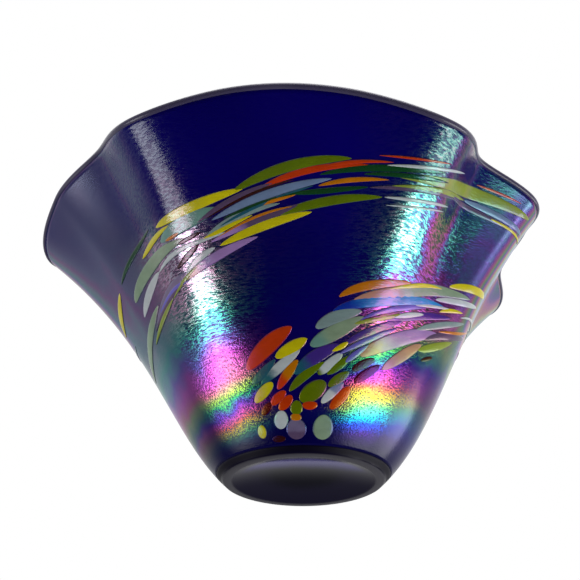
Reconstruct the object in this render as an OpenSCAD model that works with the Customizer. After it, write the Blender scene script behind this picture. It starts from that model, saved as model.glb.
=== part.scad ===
// Ruffled hand blown vase: a thick ground foot, a thin flared wall, a fire polished lip,
// and chips of coloured glass pressed into the wall along one rising band.
// Millimetres. +Z is up. The origin is the centre of the ground ring the vase stands on.
// Directions round the vase are angles: 0 faces the front (-Y), 90 faces +X.
// Heights on the wall are in hundredths of the way from the foot edge to the rim.

/* [Foot] */
// Outside diameter of the ground ring
foot_d = 80; // [74:1:86]
// Width of the flat ground ring
ring_width = 3.5; // [2.5:0.5:5]
// Depth of the polished hollow under the foot
punt_depth = 4; // [2:0.5:5]
// Height of the floor inside the vase, at the wall
floor_height = 11.2; // [10.6:0.2:11.8]
// How far the floor dips to its middle
floor_dip = 1.2; // [0.4:0.2:2]

/* [Wall] */
// Reach of the lower swell
swell_reach = 70; // [67:1:73]
// Height of the lower swell
swell_height = 28; // [26:1:30]
// Reach of the waist, under the flare
waist_reach = 79; // [76:1:82]
// Height of the waist, under the flare
waist_height = 79; // [76:1:82]
// Thickness of the wall near the foot
wall_foot = 5.5; // [5:0.5:6]
// Thickness of the wall near the rim
wall_rim = 2.6; // [2.4:0.2:4]
// Depth of the ruffles, 1 is as blown
ruffle = 1; // [0.8:0.05:1.1]

/* [Lip] */
// How far the melted bead stands up from the wall
lip_length = 1.6; // [1.2:0.2:3]
// How far the bead stands out past each side of the wall
lip_roll = 0.35; // [0.15:0.05:0.6]

/* [Chips] */
// How far a chip stands proud of the wall
chip_rise = 0.4; // [0.2:0.05:0.6]
// How far a chip is sunk into the wall
chip_sink = 0.8; // [0.6:0.1:1]

/* [Hidden] */

// The rim, as [reach, height] every 20 degrees, starting at rim_start
rim_start = 7;
rim_step = 20;
rim_mean = 136;
rim = [[146, 134], [151, 122], [121, 139], [132, 134], [124, 142], [123, 142],
       [151, 141], [129, 138], [142, 133], [138, 135], [128, 140], [140, 133],
       [118, 142], [143, 132], [138, 143], [131, 146], [148, 133], [142, 140]];

// Chips, as [node, from, by way of, to, width, tips], each place [angle, height].
// Tips 0 is a round oval, 1 has a round start and a drawn out end, 2 is drawn out both ways.
chips = [
    ["orange_petal", [-24, 33], [-15, 39], [-6, 44], 6.5, 1],
    ["yellow_petal", [-12, 36], [-6, 38], [0, 41], 4, 1],
    ["teal_sliver", [-23, 28], [-18, 31], [-14, 34], 2.2, 2],
    ["white_leaf", [-18, 27.5], [-11, 32], [-3, 37], 3.2, 1],
    ["yellow_bean", [-24, 21], [-19, 24.4], [-15, 27.2], 4.2, 0],
    ["amber_leaf", [-12, 25], [-8, 29.5], [-4, 33.6], 3.2, 1],
    ["violet_petal", [-3, 31.4], [4, 35], [11, 38.5], 4.4, 1],
    ["olive_leaf", [-6, 25], [0, 29.5], [7, 33.5], 3, 2],
    ["grey_petal", [4, 45], [11, 48.5], [18, 51], 4, 1],
    ["sage_petal", [2, 39], [11, 43.5], [20, 48.5], 5, 1],
    ["white_bean", [5, 30], [9.5, 33], [14, 37], 3.4, 0],
    ["olive_wing", [10, 30], [14, 33], [18, 36.5], 2.4, 2],
    ["olive_drop", [10, 26], [14, 28.5], [18, 31], 3, 1],
    ["blue_drop", [8, 20], [12, 23.5], [16, 26.5], 3, 1],
    ["orange_seed", [12, 18], [16.5, 22], [20, 26.5], 4.2, 0],
    ["olive_oval", [-2, 21], [4, 24.5], [9, 28], 7, 0],
    ["red_drops", [-15.4, 20], [-12.5, 22.4], [-9, 25], 2.8, 0],
    ["red_drops", [-12, 18], [-8.5, 20.5], [-6, 23], 3.2, 0],
    ["maroon_bean", [-21.4, 17], [-19, 18.8], [-17, 20.6], 2.4, 0],
    ["white_oval", [-14, 11], [-12.5, 14], [-11.5, 17], 6, 0],
    ["olive_pip", [-4, 16.5], [-3.5, 18.5], [-3, 21], 4.6, 0],
    ["amber_pip", [-4, 13.5], [-4, 14.8], [-4, 16], 4.2, 0],
    ["lilac_oval", [-4.5, 6.5], [-4, 10], [-4, 13], 8.6, 0],
    ["sage_oval", [10, 6.5], [10, 11], [9.5, 16], 9, 0],
    ["yellow_pips", [-24, 8], [-24, 10.5], [-23, 13], 4.2, 0],
    ["brown_patches", [-19, 7.2], [-15, 7], [-11, 7], 3.4, 0],
    ["amber_blade", [12, 55], [22, 60], [34, 63], 2.8, 2],
    ["sage_blade", [18, 55.4], [34, 60.6], [60, 66.2], 3.8, 2],
    ["cyan_blade", [12, 51], [27, 56], [49, 60], 3, 2],
    ["violet_blades", [20, 50], [33, 54.4], [50, 57.6], 2.2, 2],
    ["violet_blades", [17, 41.5], [25, 46.5], [36, 52], 2.4, 2],
    ["yellow_crescent", [54, 67], [64, 70.5], [76, 73], 3.4, 1],
    ["white_crescent", [50, 61.6], [60, 64.6], [72, 68], 2.6, 1],
    ["lime_blades", [50, 46], [58, 48.2], [66, 52], 2.4, 1],
    ["pink_pearl", [23, 38], [33, 44.6], [51, 51], 5.6, 1],
    ["grey_blades", [42, 51.2], [53, 54.4], [64, 57.6], 2.2, 2],
    ["peach_blade", [34, 35.5], [41, 40], [49, 44.5], 3.6, 1],
    ["maroon_leaves", [20, 32], [23.5, 34.6], [27.5, 37.4], 2.6, 0],
    ["maroon_leaves", [21.5, 28], [26, 32], [31, 36], 3.2, 0],
    ["maroon_flecks", [53, 42.5], [56, 44], [59, 45.4], 2.2, 0],
    ["yellow_ribbon", [-40, 78], [-29, 79], [-17, 80], 3.4, 2],
    ["olive_ribbon", [-16, 80.4], [-4, 84], [8, 86.6], 3.4, 2],
    ["pearl_patch", [-40, 75.2], [-32, 76.2], [-24, 77], 4, 0],
    ["mauve_ribbons", [-18, 71.4], [-12, 72.6], [-6.5, 73.8], 2, 2],
    ["red_ribbon", [-10, 80], [0, 83.2], [12, 86], 2.2, 2],
    ["blue_ribbon", [-22, 75.4], [-9, 78.4], [4, 81.6], 2.8, 2],
    ["amber_ribbons", [4, 80.6], [10, 82.4], [17, 84.2], 1.6, 2],
    ["green_ribbons", [5, 83.2], [16, 86.4], [28, 89.6], 2.2, 2],
    ["green_ribbons", [-3, 78.4], [5, 79.4], [13, 81.4], 1.8, 2],
    ["green_ribbons", [-69, 73], [-60, 75.4], [-48, 78], 1.8, 2],
    ["olive_ribbon_low", [-6, 74], [5, 77], [16, 80], 3, 2],
    ["yellow_ribbon_low", [-22, 69], [-11, 71.4], [0, 74], 3, 2],
    ["grey_blades", [-27, 71.8], [-19, 73.8], [-10, 75.8], 1.8, 2],
    ["pink_pearl", [-36, 64], [-27, 65.8], [-16, 68], 2.8, 2],
    ["sage_feathers", [-68, 66], [-55, 70], [-38, 72], 4.6, 1],
    ["sage_feathers", [-72, 55], [-64, 58], [-57, 60.5], 3.4, 2],
    ["white_feathers", [-66, 61.6], [-59, 65], [-51, 67.8], 3.4, 2],
    ["lilac_feather", [-60, 57], [-49, 61.6], [-37, 64.4], 3.6, 2],
    ["yellow_ribbon", [-75, 71.4], [-82, 68.6], [-88, 66], 3, 2],
    ["lime_ribbon", [32, 90], [50, 93], [66, 96], 4, 2],
    ["blue_ribbon_right", [50, 89.6], [60, 91], [72, 92.4], 2.6, 2],
    ["back_ribbons", [88, 64.4], [118, 65.6], [150, 66], 3.4, 2],
    ["back_ribbons", [90, 58], [114, 60.4], [142, 60], 3.4, 2],
    ["back_ribbons", [152, 71], [178, 73], [204, 74], 2.6, 2],
    ["back_ribbons", [156, 64], [178, 65], [202, 64], 3, 2],
    ["back_ribbons", [210, 62.6], [232, 64], [260, 64], 3, 2],
    ["back_ribbons", [220, 57], [244, 58.6], [270, 60], 3, 2]];

// Glass colours
cobalt = [0.03, 0.02, 0.36];
smoke = [0.30, 0.28, 0.40];
orange = [0.82, 0.25, 0.03];
yellow = [0.85, 0.80, 0.05];
amber = [0.80, 0.45, 0.05];
olive = [0.42, 0.47, 0.05];
lime = [0.60, 0.68, 0.25];
sage = [0.55, 0.66, 0.52];
green = [0.10, 0.32, 0.12];
teal = [0.05, 0.40, 0.45];
cyan = [0.10, 0.55, 0.80];
blue = [0.35, 0.45, 0.68];
grey = [0.48, 0.58, 0.60];
white = [0.86, 0.88, 0.88];
pearl = [0.50, 0.66, 0.60];
lilac = [0.50, 0.42, 0.62];
violet = [0.30, 0.18, 0.60];
mauve = [0.42, 0.34, 0.44];
pink = [0.72, 0.50, 0.74];
peach = [0.78, 0.55, 0.42];
red = [0.76, 0.16, 0.03];
maroon = [0.28, 0.03, 0.05];
brown = [0.25, 0.10, 0.04];

columns = 90;            // facets round the wall and the lip
first_column = 1.3;      // keeps the facets off the chips' middle lines
joint = 0.04;            // where the wall leaves the foot
floor_joint = 0.09;      // where the wall's inside meets the floor
wall_top = 0.99;         // where the lip bead starts
plug_r = foot_d / 2;     // radius of the foot's raised floor
plug_gap = 0.05;         // room between the floor and the wall round it
chip_stations = 6;       // cross sections along a chip

// Curve helpers ------------------------------------------------------------------

// Rim point k, counted round and round
function rim_point(k) =
    let (p = rim[(k % len(rim) + len(rim)) % len(rim)])
    [rim_mean + ruffle * (p[0] - rim_mean), p[1]];

// A smooth curve through four neighbours, f from 0 to 1 between b and c
function smooth(a, b, c, d, f) =
    b + 0.5 * f * ((c - a) + f * ((2 * a - 5 * b + 4 * c - d) + f * (3 * (b - c) + d - a)));

function rim_at(angle) =
    let (u = (angle - rim_start) / rim_step, k = floor(u))
    smooth(rim_point(k - 1), rim_point(k), rim_point(k + 1), rim_point(k + 2), u - k);

// The wall's outline in one direction: four control points from foot edge to rim
function outline(angle) =
    [[foot_d / 2, 0], [swell_reach, swell_height], [waist_reach, waist_height], rim_at(angle)];

function along(c, t) =
    pow(1 - t, 3) * c[0] + 3 * t * pow(1 - t, 2) * c[1]
    + 3 * t * t * (1 - t) * c[2] + pow(t, 3) * c[3];

function heading(c, t) =
    pow(1 - t, 2) * (c[1] - c[0]) + 2 * t * (1 - t) * (c[2] - c[1]) + t * t * (c[3] - c[2]);

// Unit vector along the outline, and the one square to it that points out of the vase
function rise_dir(angle, t) = let (d = heading(outline(angle), t)) d / norm(d);
function out_dir(angle, t) = let (u = rise_dir(angle, t)) [u[1], -u[0]];

// Outline point moved out of the wall by lift
function profile(angle, t, lift = 0) =
    along(outline(angle), t) + lift * out_dir(angle, t);

function spin(angle, p) = [p[0] * sin(angle), -p[0] * cos(angle), p[1]];
function on_wall(angle, t, lift = 0) = spin(angle, profile(angle, t, lift));

function column_angle(c) = first_column + c * 360 / columns;
function thickness(t) = wall_foot + (wall_rim - wall_foot) * t;
joint_height = profile(rim_start, joint)[1];

// A solid ring from a list of closed loops, one loop for each column
module ring_solid(loops, flip) {
    n = len(loops[0]);
    m = len(loops);
    points = [for (loop = loops) for (p = loop) p];
    function at(c, k) = (c % m) * n + k % n;
    faces = [for (c = [0 : m - 1]) for (k = [0 : n - 1])
        let (a = at(c, k), b = at(c, k + 1), d = at(c + 1, k), e = at(c + 1, k + 1))
        each flip ? [[a, b, d], [b, e, d]] : [[a, b, e], [a, e, d]]];
    polyhedron(points, faces);
}

// Foot ---------------------------------------------------------------------------

// Thick pad at the bottom: ground ring, polished hollow, and a raised dished floor
module foot() {
    ring_r = foot_d / 2 - ring_width;
    steps = 10;
    punt_r = (ring_r * ring_r + punt_depth * punt_depth) / (2 * punt_depth);
    hollow = [for (i = [0 : steps - 1])
        let (r = ring_r * i / steps) [r, punt_depth - punt_r + sqrt(punt_r * punt_r - r * r)]];
    heel = [for (i = [0 : 4]) profile(rim_start, joint * i / 4)];
    dish = [for (i = [steps : -1 : 0])
        let (f = i / steps) [plug_r * f, floor_height - floor_dip * (1 - f * f)]];
    color(smoke)
    rotate_extrude($fn = 144)
    polygon(concat(hollow, [[ring_r, 0]], heel, [[plug_r, joint_height]], dish));
}

// Wall ---------------------------------------------------------------------------

// One slice of the wall: up the outside, over the top, down the inside
function wall_loop(angle) =
    let (
        outside = [joint, 0.08, 0.13, 0.19, 0.25, 0.32, 0.39, 0.46, 0.53, 0.6, 0.66, 0.72, 0.78,
                   0.84, 0.89, 0.94],
        inside = [0.85, 0.7, 0.55, 0.4, 0.25, 0.16, floor_joint],
        bore = plug_r + plug_gap,
        foot_edge = [profile(angle, joint)[0], joint_height]
    )
    concat(
        [spin(angle, foot_edge)],
        [for (i = [1 : len(outside) - 1]) on_wall(angle, outside[i])],
        [on_wall(angle, wall_top), on_wall(angle, wall_top, -thickness(1))],
        [for (t = inside) on_wall(angle, t, -thickness(t))],
        [spin(angle, [bore, floor_height]), spin(angle, [bore, joint_height])]
    );

module wall_blank() {
    ring_solid([for (c = [0 : columns - 1]) wall_loop(column_angle(c))], false);
}

// The blown wall, with a seat for every chip
module wall() {
    color(cobalt)
    difference() {
        wall_blank();
        for (c = chips) chip(c, seat_section);
    }
}

// Lip ----------------------------------------------------------------------------

// One slice of the bead: across the top of the wall, then a half round
function lip_loop(angle) =
    let (
        edge = profile(angle, wall_top),
        up = rise_dir(angle, wall_top),
        out = out_dir(angle, wall_top),
        half = thickness(1) / 2,
        bead = [for (f = [0 : 22.5 : 180])
            edge - half * out + (half + lip_roll) * cos(f) * out + lip_length * sin(f) * up]
    )
    [for (p = concat([edge - 2 * half * out, edge], bead)) spin(angle, p)];

module lip() {
    color(smoke)
    ring_solid([for (c = [0 : columns - 1]) lip_loop(column_angle(c))], true);
}

// Chips --------------------------------------------------------------------------

// Curve through three places, s from 0 to 1
function path(c, s) =
    c[1] * (1 - s) * (1 - 2 * s) + c[2] * 4 * s * (1 - s) + c[3] * s * (2 * s - 1);

// Half width at s: round ends bulge fast, drawn out ends slowly
function half_width(c, s) =
    let (
        u = min(s, 1 - s) * 2,
        drawn = c[5] == 2 || (c[5] == 1 && s > 0.5),
        round_end = sqrt(1 - pow(1 - u, 2))
    )
    c[4] / 2 * (drawn ? pow(round_end, 1.7) : round_end);

// A place beside the path at s, moved sideways over the wall and lifted out of it
function chip_point(c, s, side, lift) =
    let (
        p = path(c, s),
        step = path(c, s + 0.01) - path(c, s - 0.01),
        here = on_wall(p[0], p[1] / 100),
        per_angle = on_wall(p[0] + 0.5, p[1] / 100) - on_wall(p[0] - 0.5, p[1] / 100),
        per_height = on_wall(p[0], p[1] / 100 + 0.005) - on_wall(p[0], p[1] / 100 - 0.005),
        run = step[0] * per_angle + step[1] * per_height,
        beside = cross(cross(per_angle, per_height), run),
        go = side * beside / norm(beside),
        angle = p[0] + go * per_angle / (per_angle * per_angle),
        height = p[1] + go * per_height / (per_height * per_height)
    )
    on_wall(angle, height / 100, lift);

// Cross section of a chip, as [share of half width, share of rise or sink],
// and of the seat cut for it, the same below and open above
chip_section = [[-1, 0.4], [-0.5, 1], [0.5, 1], [1, 0.4], [0, -1]];
seat_section = [[-1, 0.4], [0, 5], [1, 0.4], [0, -1]];

module chip_blank(c, section) {
    n = len(section);
    m = chip_stations;
    stations = [for (i = [1 : m]) (1 - cos(180 * i / (m + 1))) / 2];
    rings = [for (s = stations)
        let (half = half_width(c, s), full = 0.5 + half / c[4])
        for (q = section)
            chip_point(c, s, half * q[0], full * q[1] * (q[1] > 0 ? chip_rise : chip_sink))];
    tips = [chip_point(c, 0.001, 0, chip_rise / 4), chip_point(c, 0.999, 0, chip_rise / 4)];
    sides = [for (i = [0 : m - 2]) for (k = [0 : n - 1])
        let (a = i * n + k, b = i * n + (k + 1) % n, d = a + n, e = b + n)
        each [[a, b, e], [a, e, d]]];
    start = [for (k = [0 : n - 1]) [m * n, (k + 1) % n, k]];
    end = [for (k = [0 : n - 1]) [m * n + 1, (m - 1) * n + k, (m - 1) * n + (k + 1) % n]];
    polyhedron(concat(rings, tips), concat(sides, start, end));
}

// Round chips are plain convex beads, drawn out ones follow the wall
module chip(c, section = chip_section) {
    if (c[5] == 0) {
        hull() chip_blank(c, section);
    } else {
        chip_blank(c, section);
    }
}

// Every chip that belongs to one node
module glass(name, tint) {
    color(tint)
    for (c = chips) if (c[0] == name) chip(c);
}

// Chips of the lower cluster
module orange_petal() { glass("orange_petal", orange); }
module yellow_petal() { glass("yellow_petal", yellow); }
module teal_sliver() { glass("teal_sliver", teal); }
module white_leaf() { glass("white_leaf", white); }
module yellow_bean() { glass("yellow_bean", yellow); }
module amber_leaf() { glass("amber_leaf", amber); }
module violet_petal() { glass("violet_petal", violet); }
module olive_leaf() { glass("olive_leaf", olive); }
module grey_petal() { glass("grey_petal", grey); }
module sage_petal() { glass("sage_petal", sage); }
module white_bean() { glass("white_bean", white); }
module olive_wing() { glass("olive_wing", olive); }
module olive_drop() { glass("olive_drop", olive); }
module blue_drop() { glass("blue_drop", blue); }
module orange_seed() { glass("orange_seed", orange); }
module olive_oval() { glass("olive_oval", olive); }
module red_drops() { glass("red_drops", red); }
module maroon_bean() { glass("maroon_bean", maroon); }
module white_oval() { glass("white_oval", white); }
module olive_pip() { glass("olive_pip", olive); }
module amber_pip() { glass("amber_pip", amber); }
module lilac_oval() { glass("lilac_oval", lilac); }
module sage_oval() { glass("sage_oval", sage); }
module yellow_pips() { glass("yellow_pips", yellow); }
module brown_patches() { glass("brown_patches", brown); }

// Blades that sweep off to the right
module amber_blade() { glass("amber_blade", amber); }
module sage_blade() { glass("sage_blade", sage); }
module cyan_blade() { glass("cyan_blade", cyan); }
module violet_blades() { glass("violet_blades", violet); }
module yellow_crescent() { glass("yellow_crescent", yellow); }
module white_crescent() { glass("white_crescent", white); }
module lime_blades() { glass("lime_blades", lime); }
module pink_pearl() { glass("pink_pearl", pink); }
module grey_blades() { glass("grey_blades", grey); }
module peach_blade() { glass("peach_blade", peach); }
module maroon_leaves() { glass("maroon_leaves", maroon); }
module maroon_flecks() { glass("maroon_flecks", maroon); }

// Ribbons that come back round the left and cross the front
module yellow_ribbon() { glass("yellow_ribbon", yellow); }
module olive_ribbon() { glass("olive_ribbon", olive); }
module pearl_patch() { glass("pearl_patch", pearl); }
module mauve_ribbons() { glass("mauve_ribbons", mauve); }
module red_ribbon() { glass("red_ribbon", red); }
module blue_ribbon() { glass("blue_ribbon", blue); }
module amber_ribbons() { glass("amber_ribbons", amber); }
module green_ribbons() { glass("green_ribbons", green); }
module olive_ribbon_low() { glass("olive_ribbon_low", olive); }
module yellow_ribbon_low() { glass("yellow_ribbon_low", yellow); }
module sage_feathers() { glass("sage_feathers", sage); }
module white_feathers() { glass("white_feathers", white); }
module lilac_feather() { glass("lilac_feather", lilac); }
module lime_ribbon() { glass("lime_ribbon", lime); }
module blue_ribbon_right() { glass("blue_ribbon_right", blue); }
module back_ribbons() { glass("back_ribbons", grey); }

foot();
wall();
lip();
orange_petal();
yellow_petal();
teal_sliver();
white_leaf();
yellow_bean();
amber_leaf();
violet_petal();
olive_leaf();
grey_petal();
sage_petal();
white_bean();
olive_wing();
olive_drop();
blue_drop();
orange_seed();
olive_oval();
red_drops();
maroon_bean();
white_oval();
olive_pip();
amber_pip();
lilac_oval();
sage_oval();
yellow_pips();
brown_patches();
amber_blade();
sage_blade();
cyan_blade();
violet_blades();
yellow_crescent();
white_crescent();
lime_blades();
pink_pearl();
grey_blades();
peach_blade();
maroon_leaves();
maroon_flecks();
yellow_ribbon();
olive_ribbon();
pearl_patch();
mauve_ribbons();
red_ribbon();
blue_ribbon();
amber_ribbons();
green_ribbons();
olive_ribbon_low();
yellow_ribbon_low();
sage_feathers();
white_feathers();
lilac_feather();
lime_ribbon();
blue_ribbon_right();
back_ribbons();
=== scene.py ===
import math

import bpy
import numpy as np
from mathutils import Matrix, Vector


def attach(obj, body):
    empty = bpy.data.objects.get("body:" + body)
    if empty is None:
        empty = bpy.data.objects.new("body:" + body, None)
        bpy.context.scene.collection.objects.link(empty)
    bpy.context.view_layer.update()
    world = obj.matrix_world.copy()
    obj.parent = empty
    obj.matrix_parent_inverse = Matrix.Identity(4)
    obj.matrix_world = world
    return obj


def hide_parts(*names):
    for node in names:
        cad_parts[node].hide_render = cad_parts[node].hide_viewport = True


# %% [markdown]
# # A ruffled vase of blown glass
# The vase is one bubble of cobalt glass. Chips of coloured glass were picked up on it while it was
# hot, and twisting drew them out into a band of petals and streaks. The foot was ground flat, the
# mouth was opened and melted smooth, and a metal vapour left a rainbow film on everything.
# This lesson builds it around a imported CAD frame. The wall, the lip and the foot repeat the frame's
# rules. The chips keep its names and its count, but some lie or reach a little differently.

# %% Load the frame
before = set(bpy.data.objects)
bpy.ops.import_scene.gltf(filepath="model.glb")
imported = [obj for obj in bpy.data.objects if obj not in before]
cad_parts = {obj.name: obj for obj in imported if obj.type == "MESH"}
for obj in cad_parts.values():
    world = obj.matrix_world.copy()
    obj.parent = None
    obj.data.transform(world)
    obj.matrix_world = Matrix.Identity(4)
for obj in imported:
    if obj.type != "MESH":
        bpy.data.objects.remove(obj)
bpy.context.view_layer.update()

MM = 0.001
scene = bpy.context.scene
print("nodes in the frame:", len(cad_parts))

# %% [markdown]
# ## Writing node trees as sums
# A shader or a geometry tree is a picture of a formula. Here a small class wraps a socket, so that
# `1 - mask` adds the Math node for us.

# %% Wires that add up
class Wire:
    """An output socket that can stand in a Python sum."""

    def __init__(self, net, socket):
        self.net = net
        self.socket = socket

    def math(self, operation, *others):
        return self.net.math(operation, self, *others)

    def __add__(self, other):
        return self.net.math("ADD", self, other)

    def __radd__(self, other):
        return self.net.math("ADD", other, self)

    def __sub__(self, other):
        return self.net.math("SUBTRACT", self, other)

    def __rsub__(self, other):
        return self.net.math("SUBTRACT", other, self)

    def __mul__(self, other):
        return self.net.math("MULTIPLY", self, other)

    def __rmul__(self, other):
        return self.net.math("MULTIPLY", other, self)

    def __truediv__(self, other):
        return self.net.math("DIVIDE", self, other)

    def __pow__(self, other):
        return self.net.math("POWER", self, other)


print("wires add, subtract, multiply, divide and raise")

# %% [markdown]
# ## One way to add a node
# Every node is added by one method. It takes the kind of node, then the settings, which can change
# what sockets there are, and then a number or a wire for each socket that is needed.

# %% Nets of nodes
class Net:
    """A node tree under construction."""

    def __init__(self, tree):
        self.tree = tree

    def node(self, kind, settings=None, inputs=None, out=0):
        """Adds a node, sets its settings and then its sockets, and returns one of its outputs."""
        made = self.tree.nodes.new(kind)
        for name, value in (settings or {}).items():
            if name == "stops":
                set_stops(made.color_ramp, value)
            else:
                setattr(made, name, value)
        for key, value in (inputs or {}).items():
            if isinstance(value, Wire):
                self.tree.links.new(value.socket, made.inputs[key])
            else:
                made.inputs[key].default_value = value
        return Wire(self, made.outputs[out]) if made.outputs else None

    def math(self, operation, *values):
        """A Math node on wires and numbers."""
        return self.node("ShaderNodeMath", {"operation": operation}, dict(enumerate(values)))

    def other(self, wire, out):
        """Another output of the node that a wire comes from."""
        return Wire(self, wire.socket.node.outputs[out])

    def split(self, vector):
        """The three numbers in a vector."""
        x = self.node("ShaderNodeSeparateXYZ", inputs={0: vector})
        return x, self.other(x, 1), self.other(x, 2)

    def join(self, x, y, z):
        """A vector made of three numbers."""
        return self.node("ShaderNodeCombineXYZ", inputs={0: x, 1: y, 2: z})


def set_stops(ramp, stops):
    """Fills a colour ramp with (place, colour) pairs."""
    while len(ramp.elements) > 1:
        ramp.elements.remove(ramp.elements[-1])
    for place, colour in stops:
        made = ramp.elements[0] if place == stops[0][0] else ramp.elements.new(place)
        made.position = place
        made.color = (*colour, 1)


trial = Net(bpy.data.node_groups.new("Trial", "ShaderNodeTree"))
taken_away = 1 - trial.math("ADD", 0.25, 0.5)
print("1 - (0.25 + 0.5) is a", taken_away.socket.node.operation, "after", len(trial.tree.nodes) - 1, "node")
bpy.data.node_groups.remove(trial.tree)

# %% [markdown]
# ## The shape of the bubble
# Seen from the side in any direction, the outside is one Bezier curve: up from the foot edge, out
# through the swell, in at the waist, and out again to the rim. Only the rim's end of the curve
# changes round the vase, and that is what makes the ruffles. Angle 0 faces the front, -Y.

# %% The wall's rule
FOOT_EDGE = (40, 0)
SWELL = (70, 28)
WAIST = (79, 79)
RIM_START = 7
RIM_STEP = 20
RIM = [(146, 134), (151, 122), (121, 139), (132, 134), (124, 142), (123, 142),
       (151, 141), (129, 138), (142, 133), (138, 135), (128, 140), (140, 133),
       (118, 142), (143, 132), (138, 143), (131, 146), (148, 133), (142, 140)]
THICK_FOOT = 5.5
THICK_RIM = 2.6
WALL_TOP = 0.99
JOINT = 0.04
FLOOR_JOINT = 0.09


def rim_at(angle):
    """Reach and height of the rim in each direction, a smooth curve through the list."""
    place = (np.asarray(angle, float) - RIM_START) / RIM_STEP
    k = np.floor(place).astype(int)
    f = (place - k)[..., None]
    a, b, c, d = (np.array(RIM, float)[(k + i) % len(RIM)] for i in (-1, 0, 1, 2))
    return b + 0.5 * f * ((c - a) + f * ((2 * a - 5 * b + 4 * c - d) + f * (3 * (b - c) + d - a)))


def wall_point(angle, t, lift=0.0):
    """Places on the outside in metres: angle in degrees, t from foot edge to rim, lift in mm."""
    angle, t = np.broadcast_arrays(np.asarray(angle, float), np.asarray(t, float))
    rim = rim_at(angle)
    t = t[..., None]
    p = [np.array(FOOT_EDGE, float), np.array(SWELL, float), np.array(WAIST, float), rim]
    at = (1 - t) ** 3 * p[0] + 3 * t * (1 - t) ** 2 * p[1] + 3 * t * t * (1 - t) * p[2] + t ** 3 * p[3]
    run = (1 - t) ** 2 * (p[1] - p[0]) + 2 * t * (1 - t) * (p[2] - p[1]) + t * t * (p[3] - p[2])
    run = run / np.linalg.norm(run, axis=-1, keepdims=True)
    at = at + lift * np.stack([run[..., 1], -run[..., 0]], -1)
    turn = np.radians(angle)
    return np.stack([at[..., 0] * np.sin(turn), -at[..., 0] * np.cos(turn), at[..., 1]], -1) * MM


def wall_normal(angle, t):
    """Unit vectors that point out of the vase."""
    across = wall_point(np.add(angle, 0.3), t) - wall_point(np.subtract(angle, 0.3), t)
    up = wall_point(angle, np.add(t, 0.003)) - wall_point(angle, np.subtract(t, 0.003))
    out = np.cross(across, up)
    return out / np.linalg.norm(out, axis=-1, keepdims=True)


print("rim reaches", RIM[0][0], "mm near the front; front normal", wall_normal(0, 0.5).round(2))

# %% [markdown]
# ## From a rule to a mesh
# A mesh object is made from points, edges and faces, and any number can be stored at its points.
# Those stored numbers are how the rule, the geometry trees and the shaders talk to each other.

# %% Mesh helpers
def mesh_object(name, points, edges=(), faces=()):
    """A new object at the origin, in the scene."""
    mesh = bpy.data.meshes.new(name)
    mesh.from_pydata([tuple(p) for p in points], list(edges), list(faces))
    made = bpy.data.objects.new(name, mesh)
    scene.collection.objects.link(made)
    return made


def store(mesh, name, values, kind="FLOAT"):
    """Keeps one number, or one vector, at every point of a mesh."""
    attribute = mesh.attributes.get(name) or mesh.attributes.new(name, kind, "POINT")
    field = "vector" if kind == "FLOAT_VECTOR" else "value"
    attribute.data.foreach_set(field, np.asarray(values, np.float32).ravel())


def read(mesh, name):
    """Reads such numbers back."""
    values = np.zeros(len(mesh.vertices), np.float32)
    mesh.attributes[name].data.foreach_get("value", values)
    return values


print("meshes can carry numbers")

# %% [markdown]
# ## Geometry trees that leave plain meshes
# Glass that was stretched follows rules, so trees make the wall, the lip and the chips. A tree is run
# on an object once, and its result is kept as a plain mesh with its glass on, so nothing is left to
# work out again later.

# %% Geometry tree helpers
def new_tree(name, inputs):
    """An empty geometry tree with a mesh socket each way and named inputs."""
    tree = bpy.data.node_groups.new(name, "GeometryNodeTree")
    tree.interface.new_socket("Geometry", in_out="INPUT", socket_type="NodeSocketGeometry")
    for label, kind, value in inputs:
        socket = tree.interface.new_socket(label, in_out="INPUT", socket_type="NodeSocket" + kind)
        if value is not None:
            socket.default_value = value
    tree.interface.new_socket("Geometry", in_out="OUTPUT", socket_type="NodeSocketGeometry")
    net = Net(tree)
    first = net.node("NodeGroupInput")
    given = {s.name: Wire(net, s) for s in first.socket.node.outputs}
    return net, given


def keep(net, geometry, label, value, kind="FLOAT", domain="POINT"):
    """Stores a field under a name, for a later node or a shader to read."""
    return net.node("GeometryNodeStoreNamedAttribute", {"data_type": kind, "domain": domain},
                    {"Geometry": geometry, "Name": label, "Value": value})


def kept(net, label, kind="FLOAT"):
    """Reads a stored field."""
    return net.node("GeometryNodeInputNamedAttribute", {"data_type": kind}, {"Name": label})


def end_tree(net, mesh, glass):
    """Every tree ends the same way: real geometry with a material on it."""
    real = net.node("GeometryNodeRealizeInstances", inputs={"Geometry": mesh})
    painted = net.node("GeometryNodeSetMaterial", inputs={"Geometry": real, "Material": glass})
    net.node("NodeGroupOutput", inputs={0: painted})
    return net.tree


def grow(seed, tree, values):
    """Runs a geometry tree with the given inputs and makes its result the object's own mesh."""
    modifier = seed.modifiers.new(tree.name, "NODES")
    modifier.node_group = tree
    sockets = {s.name: s.identifier for s in tree.interface.items_tree if s.in_out == "INPUT"}
    for name, value in values.items():
        modifier[sockets[name]] = value
    bpy.context.view_layer.update()
    shaped = seed.evaluated_get(bpy.context.evaluated_depsgraph_get())
    grown = bpy.data.meshes.new_from_object(shaped)
    seed.modifiers.remove(modifier)
    seed.data = grown
    grown.name = seed.name
    return seed


print("trees can be grown")

# %% [markdown]
# ## Colours
# Colours are written the way a paint program shows them, from 0 to 255, and turned into the
# linear values that light is summed in. The film's colours come in the order in which a thickening
# film shows them, once round for each colour band.

# %% Glass and film colours
def linear(red, green, blue):
    """A screen colour as linear light."""
    values = np.array([red, green, blue]) / 255
    return tuple(np.where(values < 0.04045, values / 12.92, ((values + 0.055) / 1.055) ** 2.4))


def paint(red, green, blue):
    """The same as a colour socket wants it, with full cover."""
    return (*linear(red, green, blue), 1)


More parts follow.
